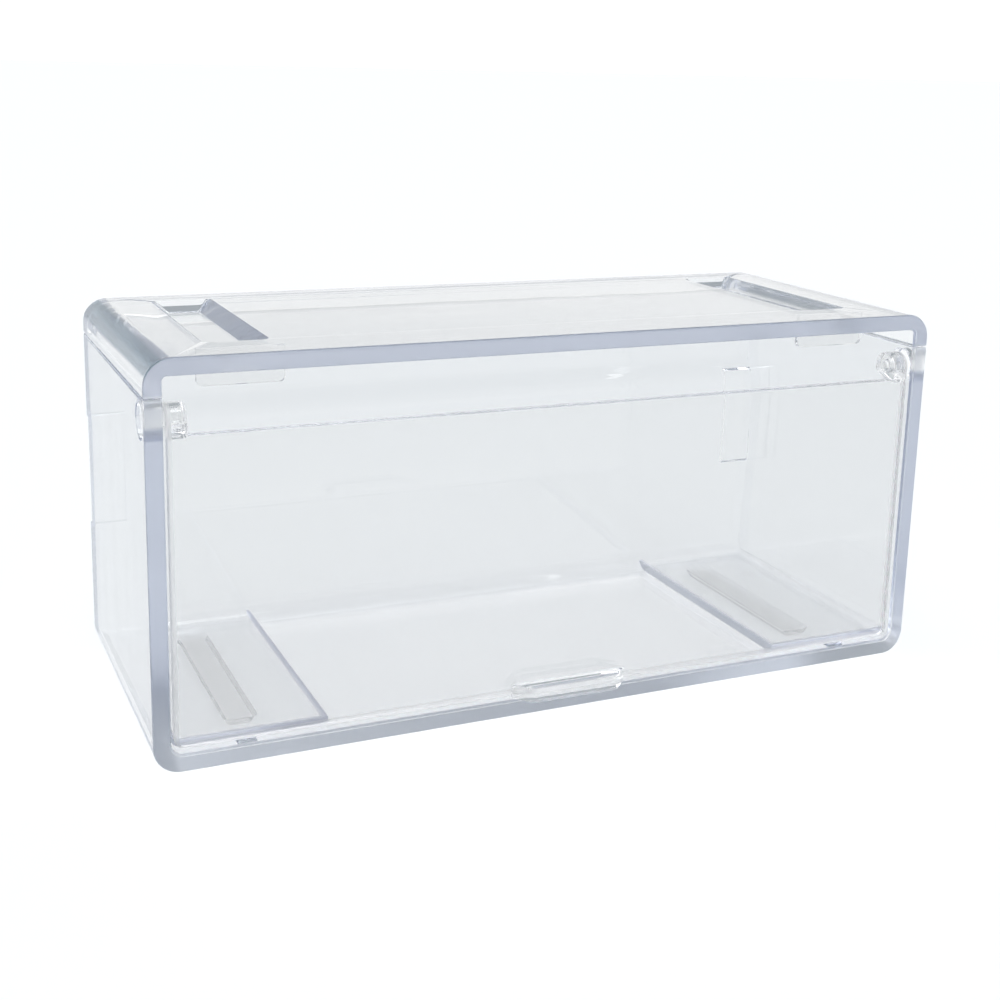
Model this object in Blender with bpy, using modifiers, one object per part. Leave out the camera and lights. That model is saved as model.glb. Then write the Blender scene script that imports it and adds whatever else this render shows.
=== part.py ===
"""A clear, stackable card deck box: a case with a bonded cover and a front door that swings out and up.

Metres, +Z up, +X along the width, the door on the -Y side. The origin is the middle of the footprint.
"""

import math

import bmesh
import bpy
from mathutils import Matrix, Vector

MM = 0.001

# Case
WIDTH = 230 * MM
DEPTH = 92 * MM
FRAME_HEIGHT = 106 * MM
WALL = 4.6 * MM
OUTER_RADIUS = 7 * MM
INNER_RADIUS = 3 * MM
COVER_INNER_RADIUS = 1.2 * MM
REAR_OUTER_RADIUS = 2 * MM
REAR_INNER_RADIUS = 1 * MM
FOOT_INNER_RADIUS = 5.5 * MM
SEAM_HEIGHT = 96.4 * MM
SEAM_GAP = 0.3 * MM
LEDGE_HEIGHT = 70 * MM
LEDGE_STEP = 3.4 * MM
LEDGE_RISE = 6 * MM
LEDGE_BLEND = 11 * MM

# Rebates on the outside of the two rear corners
REBATE_WIDTH = 14 * MM
REBATE_LOW = 39.5 * MM
REBATE_HIGH = 72 * MM
REBATE_INSET = 4.2 * MM

# Stacking pockets in the cover and the rails that stand in them
POCKET_CENTRE = 26.5 * MM
POCKET_WIDTH = 17.5 * MM
POCKET_FRONT = 16.5 * MM
POCKET_REAR = 82.5 * MM
POCKET_DEPTH = 3.2 * MM
POCKET_SLOPE = 4 * MM
POCKET_CORNER = 2 * MM
RAIL_WIDTH = 9.5 * MM
RAIL_FRONT = 18.5 * MM
RAIL_REAR = 80 * MM
RAIL_HEIGHT = 2.5 * MM
RAIL_SLOPE = 1.2 * MM

# Thin lips under the cover that keep the cards back from the door
LIP_WIDTH = 22.5 * MM
LIP_FRONT = 12 * MM
LIP_THICKNESS = 1.4 * MM
LIP_BOTTOM = 95.9 * MM
LIP_CORNER = 1.5 * MM

# Raised pads on the floor
PAD_INNER_EDGE = 46 * MM
PAD_TOP = 7.4 * MM
PAD_FRONT = 4.4 * MM

# Door
DOOR_FACE = 0.9 * MM
DOOR_THICKNESS = 3.1 * MM
DOOR_SIDE_GAP = 1 * MM
DOOR_BOTTOM = 5.8 * MM
DOOR_TOP = 86.6 * MM
DOOR_CORNER = 2.4 * MM
HINGE_DEPTH = 5.9 * MM
HINGE_HEIGHT = 90.1 * MM
EAR_WIDTH = 5 * MM
EAR_RADIUS = 4 * MM
EAR_ROOT = 85.3 * MM

# Hinge pins
PIN_HEAD_RADIUS = 4.7 * MM
PIN_HEAD_INSET = 0.1 * MM
PIN_SHANK_RADIUS = 2 * MM
PIN_LENGTH = 9.3 * MM
PIN_CHAMFER = 0.5 * MM
PIN_CLEARANCE = 0.3 * MM

# Finger pull
PULL_WIDTH = 35.5 * MM
PULL_REACH = 4.5 * MM
PULL_END_RUN = 5 * MM
PULL_BOTTOM = 4.9 * MM
PULL_TOP = 9.4 * MM

# Snap bumps under the door
BUMP_PLACE = 91 * MM
BUMP_LENGTH = 5 * MM
BUMP_HEIGHT = 0.8 * MM
BUMP_RADIUS = 1.6 * MM

# Fits and fineness
PIECE_GAP = 0.3 * MM
EDGE_ROUND = 0.5 * MM
SHARP_ANGLE = math.radians(30)
FLAT_ANGLE = math.radians(1)
WELD_DISTANCE = 0.05 * MM
ARC_STEPS = 8
ROUND_SIDES = 48
BEYOND = 10 * MM

HALF = WIDTH / 2
FRONT = (PULL_REACH - DEPTH) / 2
HINGE_POINT = Vector((0, FRONT + HINGE_DEPTH, RAIL_HEIGHT + HINGE_HEIGHT))

CLEAR = (0.90, 0.93, 0.96)
CLEAR_DOOR = (0.93, 0.95, 0.97)

# Local x, y and extrusion of a flat outline, as world directions
PLANES = {
    "X": Matrix(((0, 0, 1), (1, 0, 0), (0, 1, 0))),
    "Y": Matrix(((1, 0, 0), (0, 0, -1), (0, 1, 0))),
    "Z": Matrix.Identity(3),
}


def clear_scene():
    for obj in list(bpy.data.objects):
        bpy.data.objects.remove(obj, do_unlink=True)


def new_collection(name, hidden=False):
    collection = bpy.data.collections.new(name)
    bpy.context.scene.collection.children.link(collection)
    collection.hide_render = hidden
    return collection


def plastic(name, colour, roughness):
    material = bpy.data.materials.new(name)
    material.use_nodes = True
    shader = material.node_tree.nodes["Principled BSDF"]
    shader.inputs["Base Color"].default_value = (*colour, 1)
    shader.inputs["Roughness"].default_value = roughness
    shader.inputs["Metallic"].default_value = 0
    shader.inputs["Transmission Weight"].default_value = 1
    shader.inputs["IOR"].default_value = 1.53
    return material


def along(depth):
    """World y of a depth measured back from the frame's front face."""
    return FRONT + depth


def up(height):
    """World z of a height measured from the frame's lower edge."""
    return RAIL_HEIGHT + height


def rounded(corners):
    """The outline through (u, v, radius) corners, in order, each corner rounded by its radius."""
    points = []
    for place, (u, v, radius) in enumerate(corners):
        corner = Vector((u, v))
        if radius == 0:
            points.append(corner)
            continue
        before = (Vector(corners[place - 1][:2]) - corner).normalized()
        after = (Vector(corners[(place + 1) % len(corners)][:2]) - corner).normalized()
        half_angle = before.angle(after) / 2
        run = radius / math.tan(half_angle)
        centre = corner + (before + after).normalized() * (radius / math.sin(half_angle))
        first = corner + before * run - centre
        last = corner + after * run - centre
        sweep = first.angle_signed(last)
        steps = max(2, round(abs(sweep) / (math.pi / 2) * ARC_STEPS))
        for step in range(steps + 1):
            turned = Matrix.Rotation(-sweep * step / steps, 2) @ first
            points.append(centre + turned)
    return points


def box_outline(low_u, high_u, low_v, high_v, radii):
    """A rectangle with the radii of its low-low, high-low, high-high and low-high corners."""
    corners = ((low_u, low_v), (high_u, low_v), (high_u, high_v), (low_u, high_v))
    return rounded([(u, v, radius) for (u, v), radius in zip(corners, radii)])


def add_object(name, mesh, collection, material=None):
    obj = bpy.data.objects.new(name, mesh)
    collection.objects.link(obj)
    if material:
        mesh.materials.append(material)
    else:
        obj.display_type = "WIRE"
        obj.hide_render = True
    return obj


def extruded(name, outline, axis, start, end, collection, material=None):
    """A flat outline drawn out along a world axis, from start to end."""
    curve = bpy.data.curves.new(name + "_outline", "CURVE")
    curve.dimensions = "2D"
    curve.fill_mode = "BOTH"
    curve.extrude = (end - start) / 2
    spline = curve.splines.new("POLY")
    spline.points.add(len(outline) - 1)
    for point, place in zip(spline.points, outline):
        point.co = (place[0], place[1], 0, 1)
    spline.use_cyclic_u = True
    guide = bpy.data.objects.new(name + "_outline", curve)
    collection.objects.link(guide)
    graph = bpy.context.evaluated_depsgraph_get()
    mesh = bpy.data.meshes.new_from_object(guide.evaluated_get(graph))
    mesh.name = name
    bpy.data.objects.remove(guide, do_unlink=True)
    turn = PLANES[axis]
    middle = turn @ Vector((0, 0, 1)) * (start + end) / 2
    if axis == "Y":
        middle = -middle
    mesh.transform(Matrix.Translation(middle) @ turn.to_4x4())
    cleaned = bmesh.new()
    cleaned.from_mesh(mesh)
    bmesh.ops.remove_doubles(cleaned, verts=cleaned.verts, dist=0.00001)
    bmesh.ops.dissolve_limit(
        cleaned, angle_limit=FLAT_ANGLE, verts=cleaned.verts, edges=cleaned.edges)
    bmesh.ops.recalc_face_normals(cleaned, faces=cleaned.faces)
    cleaned.to_mesh(mesh)
    cleaned.free()
    mesh.shade_smooth()
    mesh.set_sharp_from_angle(angle=SHARP_ANGLE)
    mesh.materials.clear()
    return add_object(name, mesh, collection, material)


def combine(target, other, operation):
    step = target.modifiers.new(operation.lower() + "_" + other.name, "BOOLEAN")
    step.operation = operation
    step.solver = "EXACT"
    step.object = other


def soften(obj, width=EDGE_ROUND):
    """Small rounds on the sharp edges, as a mould leaves them."""
    edge = obj.modifiers.new("edge_round", "BEVEL")
    edge.width = width
    edge.segments = 2
    edge.limit_method = "ANGLE"
    edge.angle_limit = math.radians(35)


def weld(obj):
    """Joins the crowded points that Booleans leave where rounds meet."""
    step = obj.modifiers.new("weld_close_points", "WELD")
    step.merge_threshold = WELD_DISTANCE


def flare(space, name, side, low, high, radii, cutters):
    """Widens a space's front mouth, which leaves a chamfer round the frame's inner edge."""
    mouth = extruded(
        name,
        box_outline(
            -side - EDGE_ROUND, side + EDGE_ROUND, low - EDGE_ROUND, high + EDGE_ROUND,
            [radius + EDGE_ROUND for radius in radii]),
        "Y", FRONT - BEYOND, FRONT + 2 * EDGE_ROUND, cutters)
    edge = mouth.modifiers.new("chamfer", "BEVEL")
    edge.width = 2 * EDGE_ROUND
    edge.segments = 1
    edge.limit_method = "ANGLE"
    edge.angle_limit = math.radians(60)
    combine(space, mouth, "UNION")


def rod(name, radius, start, end, centre_y, centre_z, collection):
    """A round cutter along X."""
    bpy.ops.mesh.primitive_cylinder_add(vertices=ROUND_SIDES, radius=radius, depth=end - start)
    obj = bpy.context.object
    obj.name = name
    obj.rotation_euler = (0, math.pi / 2, 0)
    obj.location = ((start + end) / 2, centre_y, centre_z)
    for owner in list(obj.users_collection):
        owner.objects.unlink(obj)
    collection.objects.link(obj)
    obj.display_type = "WIRE"
    obj.hide_render = True
    return obj


def rear_profile(inset, low, high, front):
    """Side outline of the case at an inset from its outer faces: the rear wall leans in, then steps out."""
    rear = along(DEPTH - inset)
    waist = along(DEPTH - LEDGE_STEP - inset)
    foot_radius = OUTER_RADIUS if inset == 0 else FOOT_INNER_RADIUS
    return rounded([
        (front, low, 0),
        (rear, low, foot_radius),
        (waist, up(LEDGE_HEIGHT), LEDGE_BLEND),
        (rear, up(LEDGE_HEIGHT) + LEDGE_RISE, LEDGE_BLEND),
        (rear, high, 0),
        (front, high, 0),
    ])


def cavity(name, clearance, cutters):
    """The space inside the case, open at the front and the top, made smaller all round by the clearance."""
    inset = WALL + clearance
    low = up(WALL) + clearance
    high = up(FRAME_HEIGHT)
    front = FRONT - BEYOND
    side = HALF - inset
    rear = along(DEPTH - inset)
    radii = (INNER_RADIUS, INNER_RADIUS, 0, 0)
    space = extruded(
        name, box_outline(-side, side, low, high, radii), "Y", front, rear + BEYOND, cutters)
    profile = extruded(
        name + "_side", rear_profile(inset, low, high + BEYOND, front - BEYOND),
        "X", -WIDTH, WIDTH, cutters)
    plan = extruded(
        name + "_plan",
        box_outline(-side, side, front - BEYOND, rear, (0, 0, REAR_INNER_RADIUS, REAR_INNER_RADIUS)),
        "Z", 0, up(FRAME_HEIGHT) + BEYOND, cutters)
    combine(space, profile, "INTERSECT")
    combine(space, plan, "INTERSECT")
    if clearance == 0:
        flare(space, name + "_mouth", side, low, high, radii, cutters)
    return space


def rear_corner_plan(name, cutters):
    """The case in plan, with its two rear corners rounded."""
    outline = box_outline(
        -HALF, HALF, FRONT - BEYOND, along(DEPTH), (0, 0, REAR_OUTER_RADIUS, REAR_OUTER_RADIUS))
    return extruded(name, outline, "Z", -BEYOND, up(FRAME_HEIGHT) + BEYOND, cutters)


def add_rear_rebate(shell, side_name, side_sign, cutters):
    """A rebate with an upright floor in the leaning rear wall, out to the side. It deepens downwards."""
    floor = along(DEPTH - REBATE_INSET)
    outline = box_outline(
        floor, floor + BEYOND, up(REBATE_LOW), up(REBATE_HIGH), (EDGE_ROUND, 0, 0, EDGE_ROUND))
    edges = sorted((side_sign * (HALF + BEYOND), side_sign * (HALF - REBATE_WIDTH)))
    rebate = extruded("rear_rebate_" + side_name, outline, "X", *edges, cutters)
    combine(shell, rebate, "DIFFERENCE")


def add_snap_bump(shell, side_name, side_sign, cutters):
    """A low ridge on the floor that the door's lower edge clicks against."""
    centre = side_sign * BUMP_PLACE
    bump = rod(
        "snap_bump_" + side_name, BUMP_RADIUS, centre - BUMP_LENGTH / 2, centre + BUMP_LENGTH / 2,
        along(DOOR_FACE + DOOR_THICKNESS / 2), up(WALL + BUMP_HEIGHT) - BUMP_RADIUS, cutters)
    combine(shell, bump, "UNION")


def make_case_shell(parts, cutters):
    shell = extruded(
        "case_shell",
        box_outline(-HALF, HALF, up(0), up(SEAM_HEIGHT - SEAM_GAP), (OUTER_RADIUS, OUTER_RADIUS, 0, 0)),
        "Y", FRONT, along(DEPTH), parts, plastic("case_plastic", CLEAR, 0.04))
    soften(shell)
    side = extruded(
        "case_side_outline", rear_profile(0, up(0), up(FRAME_HEIGHT), FRONT - BEYOND),
        "X", -WIDTH, WIDTH, cutters)
    combine(shell, side, "INTERSECT")
    combine(shell, rear_corner_plan("case_plan_outline", cutters), "INTERSECT")
    combine(shell, cavity("case_space", 0, cutters), "DIFFERENCE")
    bore = rod(
        "hinge_bore", PIN_HEAD_RADIUS + PIN_CLEARANCE, -WIDTH, WIDTH, HINGE_POINT.y, HINGE_POINT.z, cutters)
    combine(shell, bore, "DIFFERENCE")
    for side_name, side_sign in (("left", -1), ("right", 1)):
        add_rear_rebate(shell, side_name, side_sign, cutters)
        add_snap_bump(shell, side_name, side_sign, cutters)
    weld(shell)
    return shell


def pocket_cutter(name, centre_x, cutters):
    """A stacking pocket: a shallow tray with sloping walls, a frustum with rounded corners."""
    half_width = POCKET_WIDTH / 2
    length = POCKET_REAR - POCKET_FRONT
    top = up(FRAME_HEIGHT)
    cutter = extruded(
        name, box_outline(-half_width, half_width, -length / 2, length / 2, (POCKET_CORNER,) * 4),
        "Z", top - POCKET_DEPTH, top, cutters)
    narrow = Vector((1 - 2 * POCKET_SLOPE / POCKET_WIDTH, 1 - 2 * POCKET_SLOPE / length))
    # The sloping walls carry on a little above the cover's top face.
    rise = POCKET_DEPTH * 0.1
    for vertex in cutter.data.vertices:
        if vertex.co.z < top - POCKET_DEPTH / 2:
            vertex.co.x *= narrow.x
            vertex.co.y *= narrow.y
        else:
            vertex.co.x *= 1 + (1 - narrow.x) * rise / POCKET_DEPTH
            vertex.co.y *= 1 + (1 - narrow.y) * rise / POCKET_DEPTH
            vertex.co.z += rise
    cutter.location = (centre_x, along((POCKET_FRONT + POCKET_REAR) / 2), 0)
    return cutter


def add_card_lip(cover, side_name, centre_x, cutters):
    """A thin lip that hangs from the cover, in front of the cards."""
    half_width = LIP_WIDTH / 2
    lip = extruded(
        "card_lip_" + side_name,
        box_outline(
            centre_x - half_width, centre_x + half_width,
            up(LIP_BOTTOM), up(FRAME_HEIGHT - WALL) + EDGE_ROUND, (LIP_CORNER, LIP_CORNER, 0, 0)),
        "Y", along(LIP_FRONT), along(LIP_FRONT + LIP_THICKNESS), cutters)
    combine(cover, lip, "UNION")


def make_cover(parts, cutters):
    top = up(FRAME_HEIGHT)
    cover = extruded(
        "top_cover", box_outline(-HALF, HALF, up(SEAM_HEIGHT), top, (0, 0, OUTER_RADIUS, OUTER_RADIUS)),
        "Y", FRONT, along(DEPTH), parts, plastic("cover_plastic", CLEAR, 0.04))
    soften(cover)
    combine(cover, rear_corner_plan("cover_plan_outline", cutters), "INTERSECT")
    side = HALF - WALL
    low = up(SEAM_HEIGHT) - BEYOND
    radii = (0, 0, COVER_INNER_RADIUS, COVER_INNER_RADIUS)
    space = extruded(
        "cover_space", box_outline(-side, side, low, top - WALL, radii),
        "Y", FRONT - BEYOND, along(DEPTH - WALL), cutters)
    rear_radii = (0, 0, REAR_INNER_RADIUS, REAR_INNER_RADIUS)
    space_plan = extruded(
        "cover_space_plan",
        box_outline(-side, side, FRONT - 2 * BEYOND, along(DEPTH - WALL), rear_radii),
        "Z", 0, top + BEYOND, cutters)
    combine(space, space_plan, "INTERSECT")
    flare(space, "cover_mouth", side, low, top - WALL, radii, cutters)
    combine(cover, space, "DIFFERENCE")
    for side_name, side_sign in (("left", -1), ("right", 1)):
        centre_x = side_sign * (HALF - POCKET_CENTRE)
        add_card_lip(cover, side_name, centre_x, cutters)
        combine(cover, pocket_cutter("pocket_" + side_name, centre_x, cutters), "DIFFERENCE")
    weld(cover)
    return cover


def make_door(parts, cutters):
    side = HALF - WALL - DOOR_SIDE_GAP
    door = extruded(
        "front_door",
        box_outline(-side, side, up(DOOR_BOTTOM), up(DOOR_TOP), (DOOR_CORNER, DOOR_CORNER, 0, 0)),
        "Y", along(DOOR_FACE), along(DOOR_FACE + DOOR_THICKNESS), parts,
        plastic("door_plastic", CLEAR_DOOR, 0.03))
    soften(door)
    front = along(DOOR_FACE)
    back = along(HINGE_DEPTH + EAR_RADIUS)
    ear_top = up(HINGE_HEIGHT + EAR_RADIUS)
    ear_outline = rounded([
        (front, up(EAR_ROOT), 0),
        (along(DOOR_FACE + DOOR_THICKNESS) - EDGE_ROUND, up(EAR_ROOT), 0),
        (back, up(HINGE_HEIGHT) - EAR_RADIUS / 2, EAR_RADIUS / 2),
        (back, ear_top, EAR_RADIUS),
        (front, ear_top, EAR_RADIUS),
    ])
    for side_name, side_sign in (("left", -1), ("right", 1)):
        outer = side_sign * side
        inner = side_sign * (side - EAR_WIDTH)
        ear = extruded(
            "hinge_ear_" + side_name, ear_outline, "X", min(outer, inner), max(outer, inner), cutters)
        soften(ear)
        combine(door, ear, "UNION")
        # The bore is blind, so the pin can't come out on the inside.
        ends = sorted((side_sign * WIDTH, side_sign * (HALF - PIN_LENGTH - PIN_CLEARANCE)))
        hole = rod(
            "ear_bore_" + side_name, PIN_SHANK_RADIUS + PIN_CLEARANCE, *ends,
            HINGE_POINT.y, HINGE_POINT.z, cutters)
        combine(door, hole, "DIFFERENCE")
    weld(door)
    return door


def make_finger_pull(parts):
    back = along(DOOR_FACE) - PIECE_GAP
    front = FRONT - PULL_REACH
    half_width = PULL_WIDTH / 2
    pull = extruded(
        "finger_pull",
        rounded([
            (-half_width + PULL_END_RUN, front, PULL_END_RUN / 2),
            (half_width - PULL_END_RUN, front, PULL_END_RUN / 2),
            (half_width, back, 0),
            (-half_width, back, 0),
        ]),
        "Z", up(PULL_BOTTOM), up(PULL_TOP), parts, plastic("pull_plastic", CLEAR_DOOR, 0.03))
    soften(pull, EDGE_ROUND * 1.5)
    return pull


def make_hinge_pin(side_name, side_sign, parts):
    """A turned pin: a wide head that fills the case wall and a slim shank in the door's ear."""
    head_end = WALL - PIN_HEAD_INSET
    length = PIN_LENGTH - PIN_HEAD_INSET
    profile = (
        (0, length),
        (PIN_SHANK_RADIUS - PIN_CHAMFER, length),
        (PIN_SHANK_RADIUS, length - PIN_CHAMFER),
        (PIN_SHANK_RADIUS, head_end),
        (PIN_HEAD_RADIUS, head_end),
        (PIN_HEAD_RADIUS, PIN_CHAMFER),
        (PIN_HEAD_RADIUS - PIN_CHAMFER, 0),
        (0, 0),
    )
    name = "hinge_pin_" + side_name
    mesh = bpy.data.meshes.new(name)
    line = bmesh.new()
    verts = [line.verts.new((radius, 0, height)) for radius, height in profile]
    for first, second in zip(verts, verts[1:]):
        line.edges.new((first, second))
    line.to_mesh(mesh)
    line.free()
    pin = add_object(name, mesh, parts, plastic(name + "_plastic", CLEAR, 0.05))
    turn = pin.modifiers.new("turned", "SCREW")
    turn.angle = 2 * math.pi
    turn.steps = ROUND_SIDES
    turn.render_steps = ROUND_SIDES
    turn.use_merge_vertices = True
    turn.merge_threshold = 0.00001
    pin.rotation_euler = (0, -side_sign * math.pi / 2, 0)
    pin.location = (side_sign * (HALF - PIN_HEAD_INSET), HINGE_POINT.y, HINGE_POINT.z)
    return pin


def make_floor_pad(side_name, side_sign, parts, cutters):
    """A raised pad on the floor, trimmed to the rounded inside of the case."""
    outer = side_sign * HALF
    inner = side_sign * (HALF - PAD_INNER_EDGE)
    pad = extruded(
        "floor_pad_" + side_name,
        box_outline(min(outer, inner), max(outer, inner), along(PAD_FRONT), along(DEPTH), (0, 0, 0, 0)),
        "Z", up(0), up(PAD_TOP), parts, plastic("pad_plastic_" + side_name, CLEAR, 0.05))
    combine(pad, cavity("pad_space_" + side_name, PIECE_GAP, cutters), "INTERSECT")
    weld(pad)
    soften(pad, EDGE_ROUND / 2)
    weld(pad)
    return pad


def make_foot_rail(side_name, side_sign, parts):
    """A rail under the floor that stands in the pocket of the box below."""
    half_width = RAIL_WIDTH / 2
    length = RAIL_REAR - RAIL_FRONT
    rail = extruded(
        "foot_rail_" + side_name,
        box_outline(-half_width, half_width, -length / 2, length / 2, (POCKET_CORNER,) * 4),
        "Z", 0, RAIL_HEIGHT - PIECE_GAP, parts, plastic("rail_plastic_" + side_name, CLEAR, 0.05))
    for vertex in rail.data.vertices:
        if vertex.co.z < RAIL_HEIGHT / 2:
            vertex.co.x *= 1 - RAIL_SLOPE / half_width
            vertex.co.y *= 1 - 2 * RAIL_SLOPE / length
    rail.location = (
        side_sign * (HALF - POCKET_CENTRE), along((RAIL_FRONT + RAIL_REAR) / 2), 0)
    soften(rail, EDGE_ROUND / 2)
    return rail


def hang_on_hinge(pieces, collection):
    """Parents the moving pieces to an empty on the hinge axis."""
    hinge = bpy.data.objects.new("door_hinge", None)
    hinge.location = HINGE_POINT
    hinge.empty_display_size = 10 * MM
    collection.objects.link(hinge)
    bpy.context.view_layer.update()
    for piece in pieces:
        piece.parent = hinge
        piece.matrix_parent_inverse = hinge.matrix_world.inverted()


def main():
    clear_scene()
    parts = new_collection("card_deck_box")
    cutters = new_collection("cutters", hidden=True)
    make_case_shell(parts, cutters)
    make_cover(parts, cutters)
    door = make_door(parts, cutters)
    pull = make_finger_pull(parts)
    for side_name, side_sign in (("left", -1), ("right", 1)):
        make_hinge_pin(side_name, side_sign, parts)
        make_floor_pad(side_name, side_sign, parts, cutters)
        make_foot_rail(side_name, side_sign, parts)
    hang_on_hinge((door, pull), parts)


main()
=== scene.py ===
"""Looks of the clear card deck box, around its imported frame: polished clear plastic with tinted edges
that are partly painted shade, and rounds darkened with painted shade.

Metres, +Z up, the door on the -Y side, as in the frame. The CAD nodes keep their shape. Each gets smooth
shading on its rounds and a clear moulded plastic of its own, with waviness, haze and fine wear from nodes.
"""

import math

import bpy
from mathutils import Matrix, Vector


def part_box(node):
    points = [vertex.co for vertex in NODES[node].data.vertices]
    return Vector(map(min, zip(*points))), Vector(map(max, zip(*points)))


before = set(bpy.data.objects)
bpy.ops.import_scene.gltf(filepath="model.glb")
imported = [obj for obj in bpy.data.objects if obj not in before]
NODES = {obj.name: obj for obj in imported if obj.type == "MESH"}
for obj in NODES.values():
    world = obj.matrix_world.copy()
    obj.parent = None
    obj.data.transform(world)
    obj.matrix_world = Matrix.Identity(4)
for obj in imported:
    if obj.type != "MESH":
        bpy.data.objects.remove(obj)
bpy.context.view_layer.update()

MM = 0.001
CASE_LOW, CASE_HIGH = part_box("case_shell")

# Camera, in the frame's own coordinates
CAMERA_PLACE = Vector((-0.17747, -0.38766, 0.17900))
CAMERA_TURN = math.radians(24.389)
CAMERA_PITCH = math.radians(-12.733)
CAMERA_ROLL = math.radians(1.476)
CAMERA_LENS = 53.5
CAMERA_SHIFT = (-0.0065, -0.1055)
CAMERA_CLIP = (0.01, 100)

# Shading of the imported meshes
SMOOTH_ANGLE = math.radians(32)
WELD_DISTANCE = 0.01 * MM
FACE_WEIGHT = 100

# Refraction, lower on the bonded pieces, whose hairline gap to the case would otherwise shine
INDEX = 1.53
PULL_INDEX = 1.42
BONDED_INDEX = 1.22

# Absorption inside the plastic
EDGE_TINT = (0.79, 0.815, 0.875)
THICK_DENSITY = 9
THIN_DENSITY = 7

# What each surface lets through, and what of a lamp's light passes it
# The case's greyer colour is partly the plastic's own and partly painted shade, dimming what shows through
# it.
CASE_COLOUR_AND_SHADE = (0.817, 0.824, 0.828)
COVER_COLOUR = (0.93, 0.93, 0.925)
DOOR_COLOUR = (0.955, 0.955, 0.95)
BONDED_COLOUR = (0.99, 0.99, 0.99)
LAMP_TINT = (0.938, 0.938, 0.942)

# Cut edges with a satin surface: a band on the frame tinted partly in the plastic's own colour and partly
# with painted shade, left clear low down and beside the pins as painted light.
# Each reach is followed by a fade, up to EDGE_FADE times it.
SATIN_ROUGHNESS = 0.45
SATIN_REACH = 0.9 * MM
EDGE_FADE = 1.3
FRAME_TINT_AND_SHADE = (0.53, 0.57, 0.68)
CLEAR_TINT = (1, 1, 1)
LOW_PAINTED_LIGHT_SPAN = (5 * MM, 24 * MM)
PIN_PAINTED_LIGHT_REACH = 3.3 * MM
# The pads' satin edges, tinted partly in the plastic's own colour and partly with painted shade.
PAD_EDGE_TINT_AND_SHADE = (0.68, 0.7, 0.8)

# The cover's rounds along its left and right sides, darkened with painted shade, and its slanting faces
ROUND_PAINTED_SHADE = (0.24, 0.34, 0.41)
ROUND_REACH = 7 * MM
SLANT_ROUGHNESS = 0.2
SLANT_SPAN = (0.24, 0.36)

# Polish, haze, hairline wear and the waviness of the moulding; scales are in waves per metre
POLISH_ROUGHNESS = 0.008
HAZE_SCALE = 28
HAZE_DETAIL = 3
HAZE_SPAN = (0.45, 0.75)
HAZE_ROUGHNESS = 0.03
HAIR_SCALE = 90
HAIR_DETAIL = 4
HAIR_STRETCH = (9, 9, 0.5)
HAIR_SPAN = (0.66, 0.74)
HAIR_ROUGHNESS = 0.03
FLOW_SCALE = 35
FLOW_DETAIL = 1
FLOW_STRETCH = (1, 1, 0.35)
FLOW_STRENGTH = 0.12
FLOW_DEPTH = 0.4 * MM

# Floor and light
FLOOR_SIZE = 40
FLOOR_COLOUR = (0.87, 0.87, 0.87)
FLOOR_ROUGHNESS = 0.9
SUN_STRENGTH = 2.5
SUN_SPREAD = math.radians(60)
SUN_TILT = math.radians(25)
SUN_TURN = math.radians(-40)
WORLD_STRENGTH = 1.06
HORIZON_COLOUR = (1, 1, 1)
HORIZON_TOP = 0.1
CEILING_START = 0.35
CEILING_COLOUR = (0.38, 0.415, 0.445)
LIGHT_BOUNCES = 96


def make_smooth_group():
    """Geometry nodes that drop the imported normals, then shade smooth except across sharp angles."""
    group = bpy.data.node_groups.new("smooth_by_angle", "GeometryNodeTree")
    group.interface.new_socket("Geometry", in_out="INPUT", socket_type="NodeSocketGeometry")
    group.interface.new_socket("Geometry", in_out="OUTPUT", socket_type="NodeSocketGeometry")
    add, link = group.nodes.new, group.links.new
    start, end = add("NodeGroupInput"), add("NodeGroupOutput")
    clear = add("GeometryNodeSetMeshNormal")
    clear.mode = "SHARPNESS"
    clear.inputs["Remove Custom"].default_value = True
    clear.inputs["Face Sharpness"].default_value = False
    angle = add("GeometryNodeInputMeshEdgeAngle")
    sharp = add("FunctionNodeCompare")
    sharp.operation = "GREATER_THAN"
    sharp.inputs[1].default_value = SMOOTH_ANGLE
    link(angle.outputs["Unsigned Angle"], sharp.inputs[0])
    link(sharp.outputs["Result"], clear.inputs["Edge Sharpness"])
    link(start.outputs["Geometry"], clear.inputs["Mesh"])
    link(clear.outputs["Mesh"], end.inputs["Geometry"])
    return group


def smooth_rounds(node, smooth_group):
    """Modifiers that shade the rounded stretches smooth and keep the flat faces flat."""
    join = node.modifiers.new("join", "WELD")
    join.merge_threshold = WELD_DISTANCE
    smooth = node.modifiers.new("smooth_by_angle", "NODES")
    smooth.node_group = smooth_group
    weigh = node.modifiers.new("weigh_normals", "WEIGHTED_NORMAL")
    weigh.keep_sharp = True
    weigh.weight = FACE_WEIGHT


def noise(tree, place, scale, detail, stretch=(1, 1, 1)):
    """A noise texture over a place in metres, whose scale is in waves per metre."""
    mapping = tree.nodes.new("ShaderNodeMapping")
    mapping.inputs["Scale"].default_value = stretch
    tree.links.new(place, mapping.inputs["Vector"])
    texture = tree.nodes.new("ShaderNodeTexNoise")
    texture.inputs["Scale"].default_value = scale
    texture.inputs["Detail"].default_value = detail
    tree.links.new(mapping.outputs["Vector"], texture.inputs["Vector"])
    return texture.outputs["Fac"]


def remap(tree, value, old_span, new_span=(0, 1)):
    """A value moved from one span to another, and held at the ends."""
    node = tree.nodes.new("ShaderNodeMapRange")
    node.inputs["From Min"].default_value, node.inputs["From Max"].default_value = old_span
    node.inputs["To Min"].default_value, node.inputs["To Max"].default_value = new_span
    tree.links.new(value, node.inputs["Value"])
    return node.outputs["Result"]


def maths(tree, operation, first, second=0):
    """A Math node on numbers or sockets."""
    node = tree.nodes.new("ShaderNodeMath")
    node.operation = operation
    for socket, value in zip(node.inputs, (first, second)):
        if isinstance(value, (int, float)):
            socket.default_value = value
        else:
            tree.links.new(value, socket)
    return node.outputs["Value"]


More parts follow.
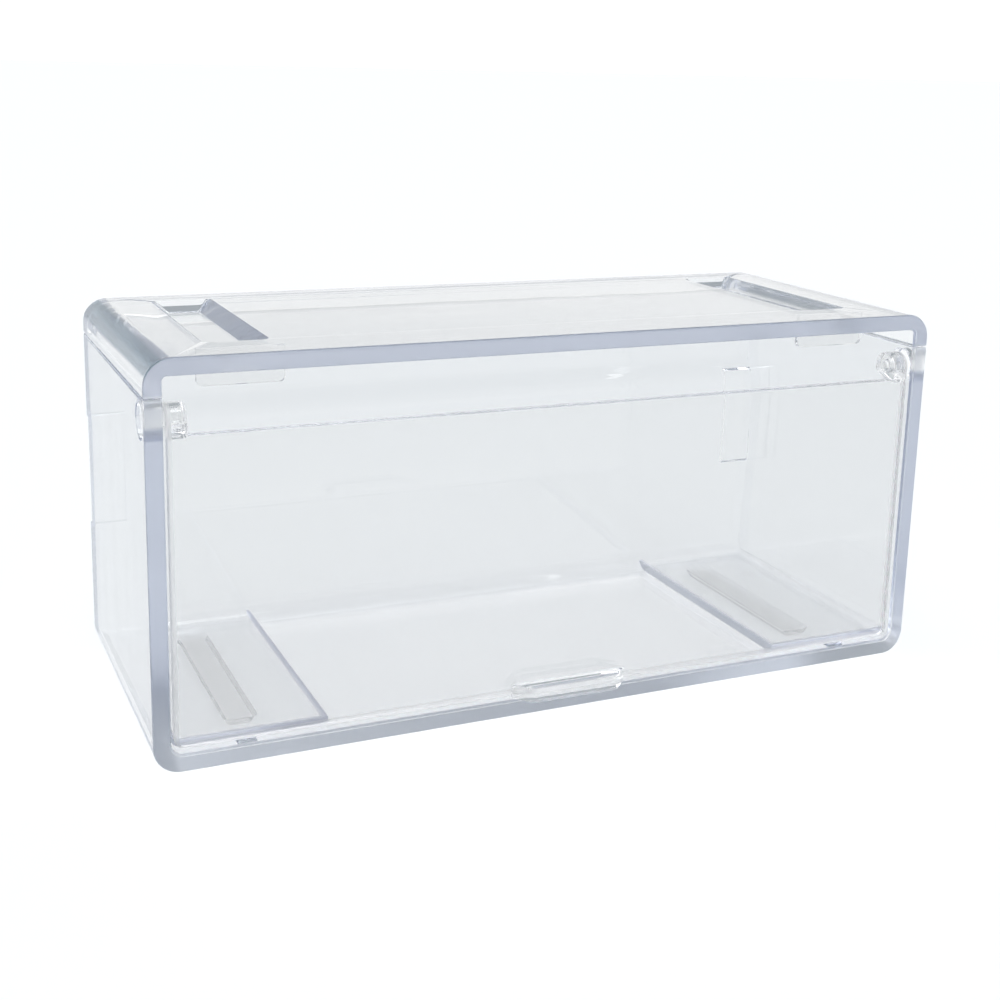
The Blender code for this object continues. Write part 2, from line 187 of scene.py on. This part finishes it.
def mixed_colour(tree, factor, first, second):
    """A mix of two colours, each a tuple or a socket: the first at 0, the second at 1."""
    mix = tree.nodes.new("ShaderNodeMix")
    mix.data_type = "RGBA"
    tree.links.new(factor, mix.inputs["Factor"])
    for name, colour in (("A", first), ("B", second)):
        socket = next(s for s in mix.inputs if s.name == name and s.type == "RGBA")
        if isinstance(colour, tuple):
            socket.default_value = (*colour, 1)
        else:
            tree.links.new(colour, socket)
    return next(s for s in mix.outputs if s.type == "RGBA")


def along(tree, vector, axis):
    """One component of a vector."""
    parts = tree.nodes.new("ShaderNodeSeparateXYZ")
    tree.links.new(vector, parts.inputs["Vector"])
    return parts.outputs[axis]


def near_face(tree, place, axis, value, reach):
    """1 within a reach of the plane where an axis has a value, 0 elsewhere."""
    distance = maths(tree, "ABSOLUTE", maths(tree, "SUBTRACT", along(tree, place, axis), value))
    return remap(tree, distance, (reach, reach * EDGE_FADE), (1, 0))


def slanting(tree):
    """1 where the surface slants upwards and sideways, 0 where it is level or upright."""
    normal = tree.nodes.new("ShaderNodeTexCoord").outputs["Normal"]
    sideways = maths(tree, "ABSOLUTE", along(tree, normal, "X"))
    return remap(tree, maths(tree, "MULTIPLY", sideways, along(tree, normal, "Z")), SLANT_SPAN)


def frame_band_shade_and_light(tree, place):
    """The tint of the frame's satin front, partly painted shade, which fades out as painted light near the
    floor and beside the hinge pins.
    """
    start = [CASE_LOW[2] + height for height in LOW_PAINTED_LIGHT_SPAN]
    # Painted light: the tint is left off low down and beside the pins.
    painted_light_low = remap(tree, along(tree, place, "Z"), start, (1, 0))
    painted_light_by_pin = near_face(tree, place, "Z", CASE_HIGH[2] - PIN_PAINTED_LIGHT_REACH, PIN_PAINTED_LIGHT_REACH)
    return mixed_colour(tree, painted_light_by_pin, mixed_colour(tree, painted_light_low, FRAME_TINT_AND_SHADE, CLEAR_TINT), CLEAR_TINT)


def worn_polish(tree, place):
    """Roughness of a polished moulding with patches of haze and upright hairlines."""
    patches = remap(tree, noise(tree, place, HAZE_SCALE, HAZE_DETAIL), HAZE_SPAN)
    hairs = remap(tree, noise(tree, place, HAIR_SCALE, HAIR_DETAIL, HAIR_STRETCH), HAIR_SPAN)
    haze = maths(tree, "ADD", maths(tree, "MULTIPLY", patches, HAZE_ROUGHNESS), POLISH_ROUGHNESS)
    return maths(tree, "ADD", haze, maths(tree, "MULTIPLY", hairs, HAIR_ROUGHNESS))


def add_flow(tree, place, shader):
    """Faint waviness from the flow of the plastic in its mould."""
    bump = tree.nodes.new("ShaderNodeBump")
    bump.inputs["Strength"].default_value = FLOW_STRENGTH
    bump.inputs["Distance"].default_value = FLOW_DEPTH
    tree.links.new(noise(tree, place, FLOW_SCALE, FLOW_DETAIL, FLOW_STRETCH), bump.inputs["Height"])
    tree.links.new(bump.outputs["Normal"], shader.inputs["Normal"])


def tint_inside(tree, density):
    """Absorption, which colours light by the length of its way through the plastic."""
    absorb = tree.nodes.new("ShaderNodeVolumeAbsorption")
    absorb.inputs["Color"].default_value = (*EDGE_TINT, 1)
    absorb.inputs["Density"].default_value = density
    tree.links.new(absorb.outputs["Volume"], tree.nodes["Material Output"].inputs["Volume"])


def let_lamps_through(tree, shader, lamp):
    """Lamps shine straight through the clear plastic, so the floor inside and below it stays lit."""
    lamp_ray = tree.nodes.new("ShaderNodeLightPath").outputs["Is Shadow Ray"]
    passing = tree.nodes.new("ShaderNodeBsdfTransparent")
    passing.inputs["Color"].default_value = (*lamp, 1)
    mix = tree.nodes.new("ShaderNodeMixShader")
    tree.links.new(lamp_ray, mix.inputs["Fac"])
    tree.links.new(shader.outputs["BSDF"], mix.inputs[1])
    tree.links.new(passing.outputs["BSDF"], mix.inputs[2])
    tree.links.new(mix.outputs["Shader"], tree.nodes["Material Output"].inputs["Surface"])


def clear_plastic(name, clear, lamp=LAMP_TINT, index=INDEX, density=THIN_DENSITY,
                  satin_faces=(), tint=None, round_sides=()):
    """Polished clear moulding: flow waviness, patches of haze and hairline wear.

    Satin faces are (axis, value) planes whose surface is rougher than the rest, and tint is their colour
    or a function that makes it; that colour is partly painted shade. Round sides are X values: the rounds
    beside them are darkened with painted shade, and every slanting face of such a piece is a little
    rougher.
    """
    material = bpy.data.materials.new(name)
    material.use_nodes = True
    tree = material.node_tree
    shader = tree.nodes["Principled BSDF"]
    shader.inputs["Base Color"].default_value = (*clear, 1)
    shader.inputs["Transmission Weight"].default_value = 1
    shader.inputs["IOR"].default_value = index
    place = tree.nodes.new("ShaderNodeTexCoord").outputs["Object"]

    roughness = worn_polish(tree, place)
    satin = 0
    for axis, value in satin_faces:
        satin = maths(tree, "MAXIMUM", satin, near_face(tree, place, axis, value, SATIN_REACH))
    if satin_faces:
        roughness = maths(tree, "MAXIMUM", roughness, maths(tree, "MULTIPLY", satin, SATIN_ROUGHNESS))
    if tint:
        # The satin faces take the tint, which is partly painted shade.
        face_colour = tint(tree, place) if callable(tint) else tint
        colour = mixed_colour(tree, satin, clear, face_colour)
        if round_sides:
            # Painted shade on the slanting rounds beside the round sides.
            beside = [near_face(tree, place, "X", side, ROUND_REACH) for side in round_sides]
            rounds = maths(tree, "MULTIPLY", slanting(tree), maths(tree, "MAXIMUM", *beside))
            colour = mixed_colour(tree, rounds, colour, ROUND_PAINTED_SHADE)
        tree.links.new(colour, shader.inputs["Base Color"])
    if round_sides:
        matt = maths(tree, "MULTIPLY", slanting(tree), SLANT_ROUGHNESS)
        roughness = maths(tree, "MAXIMUM", roughness, matt)
    tree.links.new(roughness, shader.inputs["Roughness"])

    add_flow(tree, place, shader)
    tint_inside(tree, density)
    let_lamps_through(tree, shader, lamp)
    return material


def make_camera():
    data = bpy.data.cameras.new("camera")
    data.lens = CAMERA_LENS
    data.shift_x, data.shift_y = CAMERA_SHIFT
    data.clip_start, data.clip_end = CAMERA_CLIP
    camera = bpy.data.objects.new("camera", data)
    bpy.context.scene.collection.objects.link(camera)
    level = Matrix.Rotation(-CAMERA_TURN, 4, "Z") @ Matrix.Rotation(math.pi / 2 + CAMERA_PITCH, 4, "X")
    camera.matrix_world = Matrix.Translation(CAMERA_PLACE) @ level @ Matrix.Rotation(CAMERA_ROLL, 4, "Z")
    bpy.context.scene.camera = camera


def make_floor():
    bpy.ops.mesh.primitive_plane_add(size=FLOOR_SIZE)
    floor = bpy.context.object
    floor.name = "floor"
    material = bpy.data.materials.new("floor")
    material.use_nodes = True
    shader = material.node_tree.nodes["Principled BSDF"]
    shader.inputs["Base Color"].default_value = (*FLOOR_COLOUR, 1)
    shader.inputs["Roughness"].default_value = FLOOR_ROUGHNESS
    floor.data.materials.append(material)


def make_light():
    """A white horizon under a grey ceiling, and one very soft sun."""
    world = bpy.data.worlds.new("studio")
    bpy.context.scene.world = world
    world.use_nodes = True
    tree = world.node_tree
    direction = tree.nodes.new("ShaderNodeTexCoord").outputs["Generated"]
    ramp = tree.nodes.new("ShaderNodeValToRGB")
    stops = ramp.color_ramp.elements
    stops[0].position, stops[0].color = HORIZON_TOP, (*HORIZON_COLOUR, 1)
    stops[1].position, stops[1].color = CEILING_START, (*CEILING_COLOUR, 1)
    tree.links.new(along(tree, direction, "Z"), ramp.inputs["Fac"])
    background = tree.nodes["Background"]
    background.inputs["Strength"].default_value = WORLD_STRENGTH
    tree.links.new(ramp.outputs["Color"], background.inputs["Color"])

    sun = bpy.data.lights.new("soft_sun", "SUN")
    sun.energy = SUN_STRENGTH
    sun.angle = SUN_SPREAD
    lamp = bpy.data.objects.new("soft_sun", sun)
    bpy.context.scene.collection.objects.link(lamp)
    lamp.rotation_euler = (SUN_TILT, 0, SUN_TURN)


def let_light_bounce():
    """Enough bounces for light that runs along inside the walls."""
    cycles = bpy.context.scene.cycles
    cycles.max_bounces = LIGHT_BOUNCES
    cycles.transmission_bounces = LIGHT_BOUNCES
    cycles.glossy_bounces = LIGHT_BOUNCES
    cycles.transparent_max_bounces = LIGHT_BOUNCES


def dress_pieces():
    """Smooth shading and a material of its own for each CAD node."""
    smooth_group = make_smooth_group()

    def dress(node_name, material_name, clear, **looks):
        node = NODES[node_name]
        smooth_rounds(node, smooth_group)
        node.data.materials.clear()
        node.data.materials.append(clear_plastic(material_name, clear, **looks))

    # The frame's front band: a tint of painted shade, cleared as painted light; the case's colour is partly
    # painted shade too.
    band = {"density": THICK_DENSITY, "satin_faces": [("Y", CASE_LOW[1])], "tint": frame_band_shade_and_light}
    dress("case_shell", "case_clear", CASE_COLOUR_AND_SHADE, **band)
    cover_sides = [corner[0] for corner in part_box("top_cover")]
    dress("top_cover", "cover_clear", COVER_COLOUR, round_sides=cover_sides, **band)
    door_low, door_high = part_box("front_door")
    door_edges = [("X", door_low[0]), ("X", door_high[0]), ("Z", door_low[2])]
    dress("front_door", "door_clear", DOOR_COLOUR, satin_faces=door_edges)
    dress("finger_pull", "pull_clear", BONDED_COLOUR, index=PULL_INDEX)

    bonded = {"clear": BONDED_COLOUR, "lamp": BONDED_COLOUR, "index": BONDED_INDEX}
    for side, inner in (("left", 1), ("right", 0)):
        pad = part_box("floor_pad_" + side)
        pad_edges = [("Y", pad[0][1]), ("X", pad[inner][0])]
        dress("hinge_pin_" + side, "pin_clear_" + side, **bonded)
        # The pads' edge tint is partly painted shade.
        dress("floor_pad_" + side, "pad_clear_" + side, satin_faces=pad_edges, tint=PAD_EDGE_TINT_AND_SHADE, **bonded)
        dress("foot_rail_" + side, "rail_clear_" + side, **bonded)


make_camera()
make_floor()
make_light()
let_light_bounce()
dress_pieces()

bpy.context.scene.view_settings.view_transform = "Standard"
